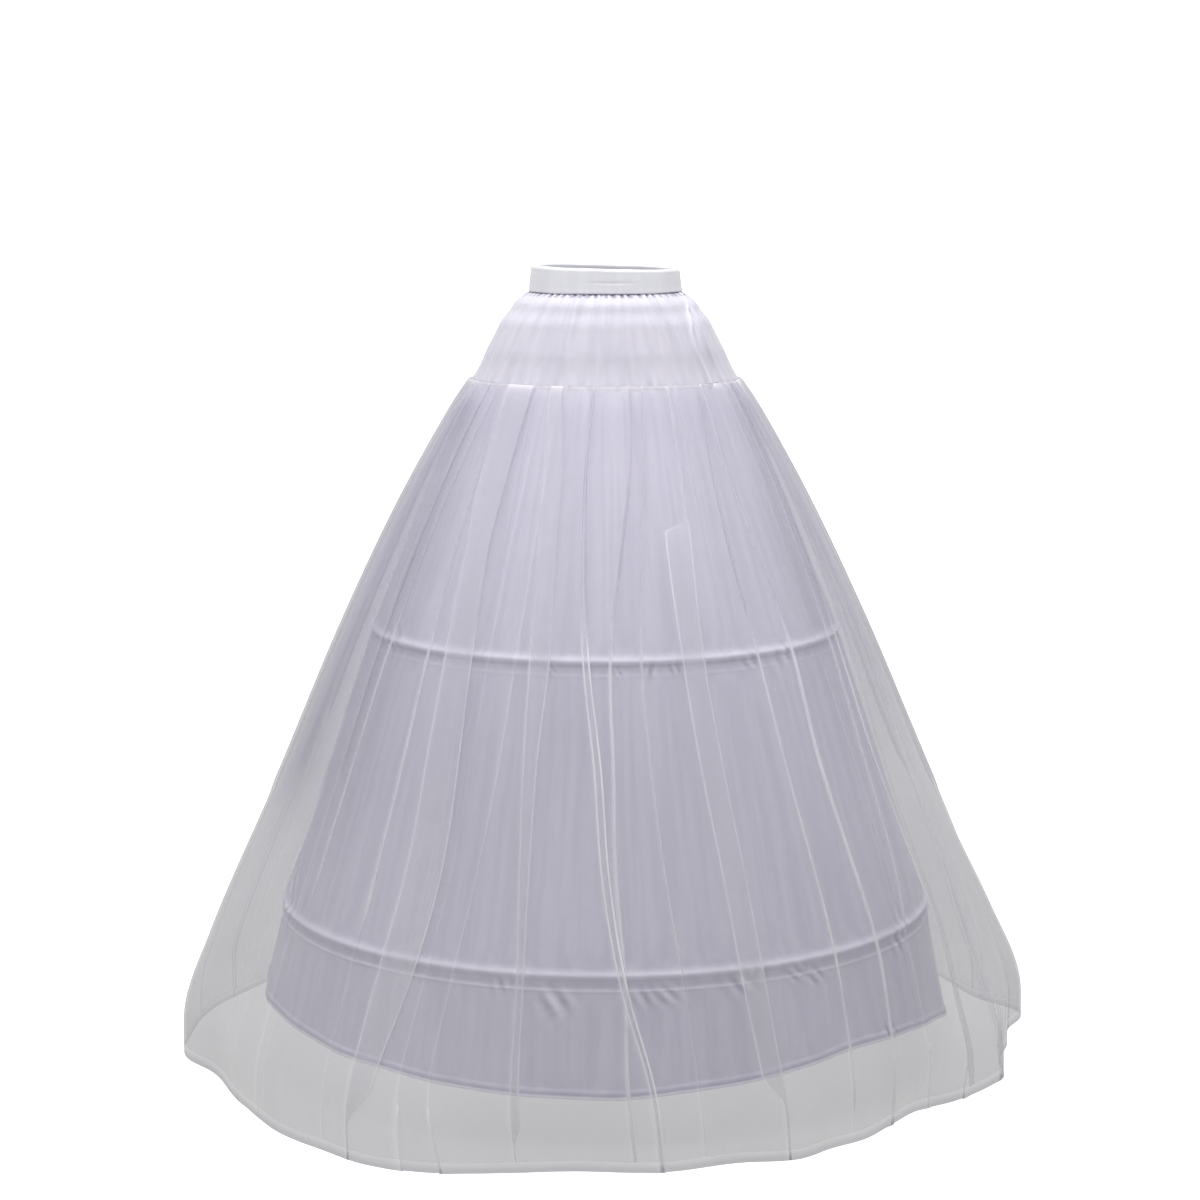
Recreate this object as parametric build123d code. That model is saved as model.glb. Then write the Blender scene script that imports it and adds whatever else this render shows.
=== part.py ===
from build123d import *

import os
from math import cos, degrees, radians, sin

# A two-hoop petticoat, standing on its hem as it is worn. Millimetres, +Z up.
# The origin is the middle of the hem circle, on the floor. -Y is the wearer's front, +X their left.
#
# From the top: an elastic waistband, a gathered yoke, a lining skirt held out by two sprung hoops,
# and two layers of tulle over the lining. The lining and the tulle hang from the seam that ends the yoke.

# ---------------------------------------------------------------- driving dimensions

# heights above the floor
BAND_TOP_Z = 1050.0
BAND_BOTTOM_Z = 1018.0
YOKE_SHOULDER_Z = 979.0
SEAM_Z = 903.0
UPPER_HOOP_Z = 580.0
LOWER_HOOP_Z = 212.0
LINING_HEM_Z = 58.0
UNDER_TULLE_HEM_Z = 12.0

# half widths and half depths of the outside of each ring of cloth
BAND_TOP = (98.0, 88.0)
BAND_BOTTOM = (101.5, 92.0)
YOKE_SHOULDER = (142.0, 124.0)
SEAM = (178.0, 153.0)
UPPER_HOOP_R = 308.0
LOWER_HOOP_R = 431.5
LINING_HEM_R = 461.5
TULLE_HEM_R = 562.0

# the outside of the tulle between the seam and its hem: height, half width, half depth
TULLE_RINGS = (
    (749.0, 270.0, 254.0),
    (595.0, 345.0, 341.0),
    (383.0, 436.0, 436.0),
    (159.0, 530.0, 530.0),
    (61.0, 561.0, 561.0),
)

# cloth thicknesses, with the fullness of the gathers in them
BAND_PLY = 1.4
ELASTIC_T = 2.0
ELASTIC_H = 24.0
YOKE_T = 1.8
LINING_T = 1.6
TULLE_T = 1.8
LAYER_GAP = 1.2
TUCK = 4.0

# hoops and the tape channels that hold them
HOOP_D = 4.5
CASING_H = 30.0
CASING_TAPE = 1.2
JOINER_L = 60.0
JOINER_D = 6.5

LINING_GORES = ("front", "front_left", "back_left", "back", "back_right", "front_right")
QUARTERS = ("front", "left", "back", "right")

# a loose fit inside a channel, and a size larger than the whole petticoat for cutting with
CLEAR = 0.15
CUT = 900.0

# the room between the band's two plies
CHANNEL = ELASTIC_T + 2 * CLEAR

# each layer of tulle stands this much outside the one under it, and the first outside the lining
LAYER_STEP = LAYER_GAP + TULLE_T
SEAM_OUTSIDE = (SEAM[0] + 2 * LAYER_STEP, SEAM[1] + 2 * LAYER_STEP)


# ---------------------------------------------------------------- helpers


def write(node, shape):
    """Write one sub-part, named after its node."""
    export_step(shape, f"parts/{node}.step")


def oval(z, half_x, half_y):
    """A closed flat ring at height z."""
    return Plane.XY.offset(z) * Wire(Edge.make_ellipse(half_x, half_y))


def skin(rings):
    """A solid whose side runs straight from each ring (z, half_x, half_y) to the next."""
    return Solid.make_loft([oval(*ring) for ring in rings], ruled=True)


def grown(rings, by):
    """The same rings, each larger all round by the given amount."""
    return [(z, half_x + by, half_y + by) for z, half_x, half_y in rings]


def beyond(end, near, extra=5.0):
    """A ring past the end ring, on the same straight side as the ring near it."""
    rate = extra / abs(end[0] - near[0])
    return tuple(at + (at - before) * rate for at, before in zip(end, near))


def stretched(rings):
    """The same rings with the first and last pushed outwards, so that a cut goes right through."""
    return [beyond(rings[0], rings[1]), *rings[1:-1], beyond(rings[-1], rings[-2])]


def shell(rings, thickness):
    """A tube of cloth: the rings are its outside, and it has the given thickness inwards."""
    return skin(rings) - skin(stretched(grown(rings, -thickness)))


def sector(middle, width, steps=4):
    """A wedge of space about the Z axis, with its middle and width given in degrees. -Y is 0."""
    corners = [(0, 0)]
    for step in range(steps + 1):
        turn = radians(middle + width * (step / steps - 0.5))
        corners.append((CUT * sin(turn), -CUT * cos(turn)))
    wedge = extrude(make_face(Polyline(*corners, close=True)), 2 * BAND_TOP_Z)
    return Pos(0, 0, -BAND_TOP_Z / 2) * wedge


def panels(tube, names):
    """Cut a tube of cloth into its sewn panels, which meet edge to edge at the seams."""
    width = 360 / len(names)
    return {name: tube & sector(number * width, width) for number, name in enumerate(names)}


def round_cut(profile):
    """Turn a flat profile, drawn as radius and height, about the Z axis."""
    return revolve(Plane.XZ * profile, Axis.Z)


# ---------------------------------------------------------------- waistband and yoke


def band_ring(z):
    """The outside of the waistband at height z."""
    share = (z - BAND_BOTTOM_Z) / (BAND_TOP_Z - BAND_BOTTOM_Z)
    return (z, *[low + (high - low) * share for low, high in zip(BAND_BOTTOM, BAND_TOP)])


def waistband():
    """One strip folded over the elastic: an upside-down U that is open at the bottom."""
    band = shell([band_ring(BAND_BOTTOM_Z), band_ring(BAND_TOP_Z)], 2 * BAND_PLY + CHANNEL)
    room = [band_ring(BAND_BOTTOM_Z - TUCK), band_ring(BAND_TOP_Z - BAND_PLY)]
    return band - shell(grown(room, -BAND_PLY), CHANNEL)


def waist_elastic():
    """The flat elastic inside the band, above the tucked edge of the yoke."""
    bottom_z = BAND_BOTTOM_Z + TUCK + CLEAR
    rings = [band_ring(bottom_z), band_ring(bottom_z + ELASTIC_H)]
    return shell(grown(rings, -BAND_PLY - CLEAR), ELASTIC_T)


def yoke():
    """The gathered tier under the band. Its top edge is tucked up into the band."""
    tuck = grown([band_ring(BAND_BOTTOM_Z), band_ring(BAND_BOTTOM_Z + TUCK)], -BAND_PLY - CLEAR)
    outside = [(SEAM_Z, *SEAM_OUTSIDE), (YOKE_SHOULDER_Z, *YOKE_SHOULDER), *tuck]
    inside = [(SEAM_Z, SEAM[0] - LINING_T, SEAM[1] - LINING_T), *grown(outside[1:], -YOKE_T)]
    return skin(outside) - skin(stretched(inside))


# ---------------------------------------------------------------- lining, hoops and tulle

LINING = [
    (LINING_HEM_Z, LINING_HEM_R, LINING_HEM_R),
    (LOWER_HOOP_Z, LOWER_HOOP_R, LOWER_HOOP_R),
    (UPPER_HOOP_Z, UPPER_HOOP_R, UPPER_HOOP_R),
    (SEAM_Z, *SEAM),
]


def lining_inside(z):
    """The radius of the lining's inner face at height z, anywhere below the upper hoop."""
    for (low_z, low_r, _), (high_z, high_r, _) in zip(LINING, LINING[1:]):
        if z <= high_z:
            break
    return low_r + (high_r - low_r) * (z - low_z) / (high_z - low_z) - LINING_T


def hoop_set(hoop_z):
    """A hoop, the sleeve that joins its ends and the tape channel sewn inside the lining."""
    bulge = JOINER_D + 2 * CLEAR + 2 * CASING_TAPE
    bulge_z = hoop_z - bulge
    tape_z = hoop_z - CASING_H
    middle = Pos(lining_inside(hoop_z - bulge / 2) - CLEAR - bulge / 2, hoop_z - bulge / 2)
    outline = Polyline(
        (lining_inside(hoop_z) - CLEAR, hoop_z),
        (lining_inside(hoop_z) - CLEAR - bulge, hoop_z),
        (lining_inside(bulge_z) - CLEAR - bulge, bulge_z),
        (lining_inside(bulge_z) - CLEAR - CASING_TAPE, bulge_z - CASING_TAPE),
        (lining_inside(tape_z) - CLEAR - CASING_TAPE, tape_z),
        (lining_inside(tape_z) - CLEAR, tape_z),
        close=True,
    )
    casing = round_cut(make_face(outline) - middle * Circle(JOINER_D / 2 + CLEAR))
    hoop = round_cut(middle * Circle(HOOP_D / 2))
    sleeve = round_cut(middle * (Circle(JOINER_D / 2) - Circle(HOOP_D / 2)))
    joiner = sleeve & sector(180, degrees(JOINER_L / middle.position.X))
    return casing, hoop, joiner


def tulle(inset, hem_z):
    """One layer of tulle, from the seam to its hem. inset is how far inside the outer layer it hangs."""
    outside = [(0.0, TULLE_HEM_R, TULLE_HEM_R), *TULLE_RINGS[::-1], (SEAM_Z, *SEAM_OUTSIDE)]
    layer = shell(grown(outside, -inset), TULLE_T)
    if hem_z > 0:
        layer -= Pos(0, 0, hem_z / 2) * Box(2 * CUT, 2 * CUT, hem_z)
    return layer


# ---------------------------------------------------------------- the whole petticoat

os.makedirs("parts", exist_ok=True)

write("waistband", waistband())
write("waist_elastic", waist_elastic())

for name, panel in panels(yoke(), ("front", "back")).items():
    write(f"yoke_{name}", panel)

for name, panel in panels(shell(LINING, LINING_T), LINING_GORES).items():
    write(f"lining_gore_{name}", panel)

for name, hoop_z in (("upper", UPPER_HOOP_Z), ("lower", LOWER_HOOP_Z)):
    casing, hoop, joiner = hoop_set(hoop_z)
    write(f"{name}_hoop_casing", casing)
    write(f"{name}_hoop", hoop)
    write(f"{name}_hoop_joiner", joiner)

for name, panel in panels(tulle(LAYER_STEP, UNDER_TULLE_HEM_Z), QUARTERS).items():
    write(f"under_tulle_{name}", panel)

for name, panel in panels(tulle(0.0, 0.0), QUARTERS).items():
    write(f"outer_tulle_{name}", panel)
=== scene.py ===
# %% [markdown]
# # A two-hoop petticoat under tulle
#
# A petticoat that holds out a wide gown. From the top down it is an elastic waistband, a gathered yoke,
# a smooth lining that two sprung hoops push out, and two loose layers of tulle over the lining.
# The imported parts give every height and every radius. This lesson adds what cloth does: gathers, pressed
# folds, sewn channels, turned hems and the way that light passes through a net.

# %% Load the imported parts
from math import pi, radians

import bpy
import numpy as np
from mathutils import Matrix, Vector


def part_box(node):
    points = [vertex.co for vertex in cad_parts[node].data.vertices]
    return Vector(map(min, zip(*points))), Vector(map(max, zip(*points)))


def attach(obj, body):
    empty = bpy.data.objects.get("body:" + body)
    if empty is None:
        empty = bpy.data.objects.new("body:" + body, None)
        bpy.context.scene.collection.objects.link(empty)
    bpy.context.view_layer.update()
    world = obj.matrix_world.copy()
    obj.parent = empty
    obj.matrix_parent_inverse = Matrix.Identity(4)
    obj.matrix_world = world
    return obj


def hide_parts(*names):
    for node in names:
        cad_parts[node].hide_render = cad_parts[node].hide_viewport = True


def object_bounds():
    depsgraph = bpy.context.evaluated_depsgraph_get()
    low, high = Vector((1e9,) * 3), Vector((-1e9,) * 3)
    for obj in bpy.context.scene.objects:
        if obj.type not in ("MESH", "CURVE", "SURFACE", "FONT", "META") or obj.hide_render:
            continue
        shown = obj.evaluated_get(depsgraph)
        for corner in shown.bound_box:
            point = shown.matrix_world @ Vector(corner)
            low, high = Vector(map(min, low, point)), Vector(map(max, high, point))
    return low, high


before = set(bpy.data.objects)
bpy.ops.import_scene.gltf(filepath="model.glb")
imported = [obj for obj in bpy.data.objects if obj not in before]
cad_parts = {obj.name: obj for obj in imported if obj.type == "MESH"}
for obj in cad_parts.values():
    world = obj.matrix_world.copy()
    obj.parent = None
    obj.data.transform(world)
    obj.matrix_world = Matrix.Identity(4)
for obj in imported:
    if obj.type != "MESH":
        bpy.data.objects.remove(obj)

cad_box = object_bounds()
low, high = cad_box
print(f"{len(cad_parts)} packed parts, {high.x - low.x:.3f} x {high.y - low.y:.3f} x {high.z:.3f} m")

# %% [markdown]
# ## Reading sizes off the parts
#
# Each part of the skirt is a tube of cloth that runs straight between a few rings. A ring has points all
# round it, so the largest x and y among the points at one height are that ring's half width and half depth.
# All the new cloth is laid on these rings. Angles round the skirt start at the front and grow
# towards the wearer's left, so a point is (half width * sin, -half depth * cos).

# %% Rings of the skirt
QUARTERS = ("front", "left", "back", "right")
GORES = ("front", "front_left", "back_left", "back", "back_right", "front_right")

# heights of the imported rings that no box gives, and how near a point must be to a ring's height
TULLE_RINGS_Z = (0, 0.061, 0.159, 0.383, 0.595, 0.749)
YOKE_SHOULDER_Z = 0.979
LEVEL = 0.0006


def reach(names, z):
    """Half width and half depth of some parts at one height."""
    points = [v.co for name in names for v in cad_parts[name].data.vertices]
    near = [p for p in points if abs(p.z - z) < LEVEL]
    return max(abs(p.x) for p in near), max(abs(p.y) for p in near)


def rings(names, heights):
    """The rings of some parts, lowest first, as three arrays: height, half width, half depth."""
    table = [(z, *reach(names, z)) for z in sorted(heights)]
    return np.array(table).T


band_z = (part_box("waistband")[0].z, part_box("waistband")[1].z)
seam_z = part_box("yoke_front")[0].z
hoop_z = (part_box("upper_hoop_casing")[1].z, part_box("lower_hoop_casing")[1].z)
lining_hem_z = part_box("lining_gore_front")[0].z
under_hem_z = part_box("under_tulle_front")[0].z

outer_rings = rings([f"outer_tulle_{quarter}" for quarter in QUARTERS], (*TULLE_RINGS_Z, seam_z))
lining_rings = rings([f"lining_gore_{gore}" for gore in GORES], (lining_hem_z, *hoop_z, seam_z))
yoke_rings = rings(["yoke_front", "yoke_back"], (seam_z, YOKE_SHOULDER_Z, band_z[0]))
band_rings = rings(["waistband"], band_z)
print(f"seam {seam_z:.3f} m up, hoops at {hoop_z[0]:.3f} and {hoop_z[1]:.3f} m")
print(f"the lining's hem {lining_hem_z:.3f} m up, the under tulle's {under_hem_z:.3f} m")

# %% [markdown]
# ## Helpers for cloth
#
# A sheet of cloth starts as a flat grid, as a woven sheet is flat, and every crossing is then moved to its
# place on the skirt. The grid keeps its flat map, so a weave or a row of stitches follows the cloth.
# `smooth_through` draws a soft curve through a few given values, `bell` is a single soft ridge, and
# `ripple` adds up a few waves with fixed random starts: cloth is never quite even.

# %% Curves and ripples


def smooth_through(x, xs, ys):
    """A smooth curve through a few points, flat beyond its two ends."""
    xs, ys = np.asarray(xs, float), np.asarray(ys, float)
    slope = np.gradient(ys, xs)
    x = np.clip(x, xs[0], xs[-1])
    i = np.clip(np.searchsorted(xs, x) - 1, 0, len(xs) - 2)
    width = xs[i + 1] - xs[i]
    t = (x - xs[i]) / width
    rise = t * t * (3 - 2 * t)
    bend = width * t * (1 - t) * ((1 - t) * slope[i] - t * slope[i + 1])
    return ys[i] * (1 - rise) + ys[i + 1] * rise + bend


def ease(x, start, end):
    """0 before start, 1 after end, and a soft step between."""
    t = np.clip((x - start) / (end - start), 0, 1)
    return t * t * (3 - 2 * t)


def bell(x, half):
    """1 at 0, and a soft fall on both sides, to almost nothing at twice the half width."""
    return np.exp(-((x / half) ** 2))


def ripple(angle, z, waves, seed):
    """A sum of soft waves round the skirt, between about -1 and 1. Each wave leans and fades a little."""
    draw = np.random.default_rng(seed)
    total = np.zeros(np.broadcast(angle, z).shape)
    for count in waves:
        start, lean, fade = draw.uniform(0, 6.28), draw.uniform(-1.5, 1.5), draw.uniform(2, 6)
        wave = np.cos(np.radians(angle) * count + start + lean * z)
        total = total + wave * (0.7 + 0.3 * np.cos(fade * z + start))
    return total / len(waves)


def ring_at(z, table, smooth=True):
    """Half width and half depth of a table of rings at any height."""
    draw = smooth_through if smooth else np.interp
    return draw(z, table[0], table[1]), draw(z, table[0], table[2])


def on_ring(angle, half_x, half_y, z):
    """The points at some angles round a ring."""
    turn = np.radians(angle)
    return half_x * np.sin(turn), -half_y * np.cos(turn), z


def wrapped(angle):
    """The same angle, between -180 and 180."""
    return (angle + 180) % 360 - 180


# %% A grid of cloth


def laid_cloth(name, columns, rows, place):
    """A flat grid, then each crossing moved to place(column, row), which gives x, y and z arrays."""
    bpy.ops.object.select_all(action="DESELECT")
    bpy.ops.mesh.primitive_grid_add(x_subdivisions=columns, y_subdivisions=rows, size=1)
    piece = bpy.context.object
    piece.name = piece.data.name = name
    flat = np.empty(len(piece.data.vertices) * 3)
    piece.data.vertices.foreach_get("co", flat)
    flat = flat.reshape(-1, 3)
    column = np.rint((flat[:, 0] + 0.5) * columns).astype(int)
    row = np.rint((flat[:, 1] + 0.5) * rows).astype(int)
    moved = np.stack(place(column, row), axis=1)
    piece.data.vertices.foreach_set("co", moved.ravel())
    piece.data.update()
    bpy.ops.object.shade_smooth()
    return piece, column, row


def mark(piece, name, values):
    """Writes one number per point on a piece, for its material to read."""
    layer = piece.data.attributes.new(name, "FLOAT", "POINT")
    layer.data.foreach_set("value", np.asarray(values, np.float32))


def surface_of(piece):
    """The area of a piece's mesh, in square metres."""
    return sum(face.area for face in piece.data.polygons)


# %% [markdown]
# ## The camera
#
# It stands about four metres in front, a little above the waist, and looks slightly down at the middle
# of the skirt, with a long lens.

# %% Camera
bpy.ops.object.camera_add(location=(-0.007, -3.92, 1.205), rotation=(radians(81.28), 0, 0))
camera = bpy.context.object
camera.name = "camera"
camera.data.lens = 88.5
camera.data.sensor_width = 36
bpy.context.scene.camera = camera

# %% [markdown]
# ## Floor and light
#
# The petticoat stands on a white studio sweep, under one large soft light above it and a weak glow all
# round. Cloth that leans back catches more of the light from above than cloth that hangs straight,
# so each tier below a hoop is a step darker than the one above.

# %% Floor
# the floor fades to pure white between these distances from the middle of the hem
SWEEP_START, SWEEP_END = 0.30, 0.66

bpy.ops.mesh.primitive_circle_add(vertices=96, radius=30, fill_type="NGON", location=(0, 0, -0.0015))
floor = bpy.context.object
floor.name = "studio_floor"


def new_material(name):
    """A material with a plain Principled shader, its node tree and that shader."""
    material = bpy.data.materials.new(name)
    material.use_nodes = True
    return material, material.node_tree, material.node_tree.nodes["Principled BSDF"]


def adjust(node, **settings):
    """Changes a node's settings. A setting named after an input sets that input."""
    for key, value in settings.items():
        if hasattr(node, key):
            setattr(node, key, value)
        else:
            node.inputs[key.replace("_", " ")].default_value = value
    return node


def add(tree, kind, **settings):
    """A new node with the given settings."""
    return adjust(tree.nodes.new(kind), **settings)


def maths(tree, operation, *inputs):
    """A Math node, whose inputs are sockets or numbers. Gives its output socket."""
    node = add(tree, "ShaderNodeMath", operation=operation)
    for slot_in, value in zip(node.inputs, inputs):
        if isinstance(value, (int, float)):
            slot_in.default_value = value
        else:
            tree.links.new(value, slot_in)
    return node.outputs[0]


def stepped(tree, value, start, end, low_out=0.0, high_out=1.0):
    """A soft step: value from start to end becomes low_out to high_out."""
    node = add(tree, "ShaderNodeMapRange", interpolation_type="SMOOTHSTEP",
               From_Min=start, From_Max=end, To_Min=low_out, To_Max=high_out)
    tree.links.new(value, node.inputs["Value"])
    return node.outputs["Result"]


def studio_glow(tree, for_light, through_net, directly):
    """How bright the studio is: as light on the cloth, as seen through the net, and past the skirt."""
    path = add(tree, "ShaderNodeLightPath").outputs
    before_net = maths(tree, "LESS_THAN", path["Transparent Depth"], 0.5)
    first = maths(tree, "MULTIPLY", path["Is Camera Ray"], before_net)
    seen = maths(tree, "MULTIPLY_ADD", path["Is Camera Ray"], through_net - for_light, for_light)
    return maths(tree, "ADD", seen, maths(tree, "MULTIPLY", first, directly))


floor_material, tree, shader = new_material("white sweep")
adjust(shader, Base_Color=(0.10, 0.10, 0.10, 1), Roughness=0.9, Specular_IOR_Level=0.1,
       Emission_Color=(1, 1, 1, 1))
place_in = add(tree, "ShaderNodeTexCoord").outputs["Object"]
distance = add(tree, "ShaderNodeVectorMath", operation="LENGTH")
tree.links.new(place_in, distance.inputs[0])
glow = stepped(tree, distance.outputs["Value"], SWEEP_START, SWEEP_END)
floor_glow = studio_glow(tree, for_light=0.36, through_net=0.530, directly=glow)
tree.links.new(floor_glow, shader.inputs["Emission Strength"])
floor.data.materials.append(floor_material)

# %% World and lights
world = bpy.data.worlds.new("studio")
bpy.context.scene.world = world
world.use_nodes = True
sky = world.node_tree.nodes["Background"]
sky.inputs["Color"].default_value = (1, 1, 1, 1)
wall_glow = studio_glow(world.node_tree, for_light=0.64, through_net=0.54, directly=0.52)
world.node_tree.links.new(wall_glow, sky.inputs["Strength"])


def soft_light(name, place, aim, size, power):
    """A square soft light that faces a point."""
    bpy.ops.object.light_add(type="AREA", location=place)
    light = bpy.context.object
    light.name = name
    light.data.size = size
    light.data.energy = power
    towards = light.location - Vector(aim)
    light.rotation_euler = towards.to_track_quat("Z", "Y").to_euler()


soft_light("overhead_light", place=(-0.05, -0.20, 2.8), aim=(0, 0, 0.4), size=2.0, power=65)
soft_light("front_light", place=(-0.5, -4.2, 2.6), aim=(0, 0, 0.5), size=2.0, power=5)

# a look through the skirt passes four layers of net, and up to three plies in each fold
scene = bpy.context.scene
scene.view_settings.view_transform = "Standard"
scene.cycles.transparent_max_bounces = 32

# %% [markdown]
# ## Cloth finishes
#
# The petticoat has three cloths. The lining and yoke are a smooth, slightly shiny polyester with a faint
# lavender cast. The band is a plain ribbon. The tulle is a fine net that shows what is behind it.
# Threads, uneven tone and stitches are node groups, because several of these cloths use them.
# Each sheet carries a number of painted light for its material: above 0 the cloth is painted paler as a
# highlight, below 0 it is painted darker as shade.

# %% Threads and tone as groups


def new_group(name, inputs, outputs):
    """An empty node group with named inputs and outputs. A number in inputs is a default value."""
    group = bpy.data.node_groups.new(name, "ShaderNodeTree")
    for key, default in inputs.items():
        kind = "NodeSocketVector" if default is None else "NodeSocketFloat"
        socket = group.interface.new_socket(key, in_out="INPUT", socket_type=kind)
        if default is not None:
            socket.default_value = default
    for key in outputs:
        group.interface.new_socket(key, in_out="OUTPUT", socket_type="NodeSocketFloat")
    return group, group.nodes.new("NodeGroupInput").outputs, group.nodes.new("NodeGroupOutput").inputs


threads, given, result = new_group("woven threads", {"Vector": None, "Threads per metre": 2500.0}, ["Height"])
scaled = add(threads, "ShaderNodeVectorMath", operation="SCALE")
threads.links.new(given["Vector"], scaled.inputs[0])
threads.links.new(given["Threads per metre"], scaled.inputs["Scale"])
split = add(threads, "ShaderNodeSeparateXYZ")
threads.links.new(scaled.outputs[0], split.inputs[0])
warp = maths(threads, "SINE", maths(threads, "MULTIPLY", split.outputs["X"], pi))
weft = maths(threads, "SINE", maths(threads, "MULTIPLY", split.outputs["Y"], pi))
threads.links.new(maths(threads, "ABSOLUTE", maths(threads, "MULTIPLY", warp, weft)), result["Height"])

tone, given, result = new_group("uneven tone", {"Vector": None, "Size": 0.08, "Streak": 4.0}, ["Tone"])
stretch = add(tone, "ShaderNodeCombineXYZ", Y=1.0, Z=1.0)
per_size = maths(tone, "DIVIDE", 1.0, given["Size"])
tone.links.new(maths(tone, "MULTIPLY", per_size, given["Streak"]), stretch.inputs["X"])
tone.links.new(per_size, stretch.inputs["Y"])
spread = add(tone, "ShaderNodeVectorMath", operation="MULTIPLY")
tone.links.new(given["Vector"], spread.inputs[0])
tone.links.new(stretch.outputs[0], spread.inputs[1])
cloud = add(tone, "ShaderNodeTexNoise", Scale=1.0, Detail=3.0, Roughness=0.55)
tone.links.new(spread.outputs[0], cloud.inputs["Vector"])
tone.links.new(cloud.outputs["Fac"], result["Tone"])

# a stitch takes this share of its length, and the needle's hole the rest
STITCH_SHARE = 0.72
stitching, given, result = new_group(
    "stitch row", {"Vector": None, "Row": 0.0, "Stitch length": 0.003, "Thickness": 0.0005}, ["Stitch"])
split = add(stitching, "ShaderNodeSeparateXYZ")
stitching.links.new(given["Vector"], split.inputs[0])
off = maths(stitching, "ABSOLUTE", maths(stitching, "SUBTRACT", split.outputs["Y"], given["Row"]))
on_row = maths(stitching, "LESS_THAN", off, given["Thickness"])
beat = maths(stitching, "FRACT", maths(stitching, "DIVIDE", split.outputs["X"], given["Stitch length"]))
in_stitch = maths(stitching, "LESS_THAN", beat, STITCH_SHARE)
stitching.links.new(maths(stitching, "MULTIPLY", on_row, in_stitch), result["Stitch"])
print("groups:", ", ".join(group.name for group in bpy.data.node_groups))

# %% Cloth materials


def use(tree, group, vector, **values):
    """Places a node group in a material and gives its first output."""
    node = add(tree, "ShaderNodeGroup", node_tree=group)
    tree.links.new(vector, node.inputs["Vector"])
    return adjust(node, **values).outputs[0]


def cloth_place(tree, size):
    """The cloth's own flat map in metres, for a piece cut to that width and height."""
    mapping = add(tree, "ShaderNodeMapping", Scale=(*size, 1))
    tree.links.new(add(tree, "ShaderNodeUVMap", uv_map="UVMap").outputs[0], mapping.inputs["Vector"])
    return mapping.outputs[0]


def tinted(tree, factor, dark, light):
    """A colour between two, by a factor. Each of the two is a colour or a socket."""
    mix = add(tree, "ShaderNodeMix", data_type="RGBA")
    tree.links.new(factor, mix.inputs["Factor"])
    for socket, colour in zip([socket for socket in mix.inputs if socket.type == "RGBA"], (dark, light)):
        if isinstance(colour, tuple):
            socket.default_value = (*colour, 1)
        else:
            tree.links.new(colour, socket)
    return next(out for out in mix.outputs if out.type == "RGBA")


def bumped(tree, shader, height, distance, strength=0.5):
    """A bump from a height in threads or stitches."""
    bump = add(tree, "ShaderNodeBump", Distance=distance, Strength=strength)
    tree.links.new(height, bump.inputs["Height"])
    tree.links.new(bump.outputs[0], shader.inputs["Normal"])


# how far streaks of tone, and the painted highlights and painted shade, move a woven cloth between its dark
# and its light colour
UNEVEN, PAINTED_LIGHT_CONTRAST = 0.06, 0.38


def woven(name, size, dark, light, middle, roughness, sheen, threads_per_metre, stitch_rows=()):
    """A woven cloth: threads, streaks of tone, painted highlights and painted shade, a soft sheen and rows of
    stitches.
    """
    material, tree, shader = new_material(name)
    place = cloth_place(tree, size)
    shade = use(tree, tone, place, Size=0.12, Streak=6.0)
    height = use(tree, threads, place, Threads_per_metre=threads_per_metre)
    for row in stitch_rows:
        stitch = use(tree, stitching, place, Row=row)
        height = maths(tree, "ADD", height, maths(tree, "MULTIPLY", stitch, 3.0))
    # painted highlights and painted shade, read from the number on each sheet
    painted_light = add(tree, "ShaderNodeAttribute", attribute_name="painted_light").outputs["Fac"]
    streaks = stepped(tree, shade, 0.35, 0.65, middle - UNEVEN, middle + UNEVEN)
    pale = maths(tree, "ADD", streaks, maths(tree, "MULTIPLY", painted_light, PAINTED_LIGHT_CONTRAST))
    tree.links.new(tinted(tree, pale, dark, light), shader.inputs["Base Color"])
    rough = stepped(tree, shade, 0.3, 0.7, roughness + 0.05, roughness - 0.05)
    tree.links.new(rough, shader.inputs["Roughness"])
    adjust(shader, Sheen_Weight=sheen, Sheen_Roughness=0.4, Specular_IOR_Level=0.35)
    bumped(tree, shader, height, 0.0001)
    return material


# each sheet's width and height as it is cut, before it is sewn: a gore and a panel of tulle are widest at
# the hem, and narrow to these shares of their rectangles
LINING_CUT, LINING_SHARE = (0.50, 0.905), 0.75
TULLE_CUT, TULLE_SHARE = (1.10, 0.99), 0.70
YOKE_CUT = (0.56, 0.140)
BAND_CUT = (0.60, 0.080)
HEM_STITCH_UP = 0.012

lining_cloth = woven("lining polyester", LINING_CUT, dark=(0.33, 0.317, 0.45), light=(0.92, 0.89, 1.0),
                     middle=0.47, roughness=0.36, sheen=0.25, threads_per_metre=2600,
                     stitch_rows=(HEM_STITCH_UP,))
yoke_cloth = woven("yoke polyester", YOKE_CUT, dark=(0.33, 0.318, 0.39), light=(0.75, 0.73, 0.812),
                   middle=0.57, roughness=0.5, sheen=0.2, threads_per_metre=2600)
band_cloth = woven("waistband ribbon", BAND_CUT, dark=(0.57, 0.57, 0.615), light=(0.90, 0.895, 0.955),
                   middle=0.57, roughness=0.45, sheen=0.3, threads_per_metre=1400)

# %% [markdown]
# Tulle is mostly holes. Seen from a few metres the net and its holes blur into a mist, so its material lets a
# share of the light straight through. The share drops where the net is creased or hemmed, because threads
# crowd together there. Each sheet of tulle carries a number: its size says how crowded the threads are, and
# its sign paints light on the net, a painted highlight above 0 and painted shade below 0.

# %% Tulle material
# the share of the light that flat net stops, and what creases and single threads add to it
NET_STOPS, CREASE_STOPS, THREAD_STOPS = (0.175, 0.225), 0.34, 0.05
# from the first of these heights up to the second, the net's colour turns more lavender and its painted shade
# lighter
LAVENDER_FROM, LAVENDER_TO = 0.25, 0.75

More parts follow.
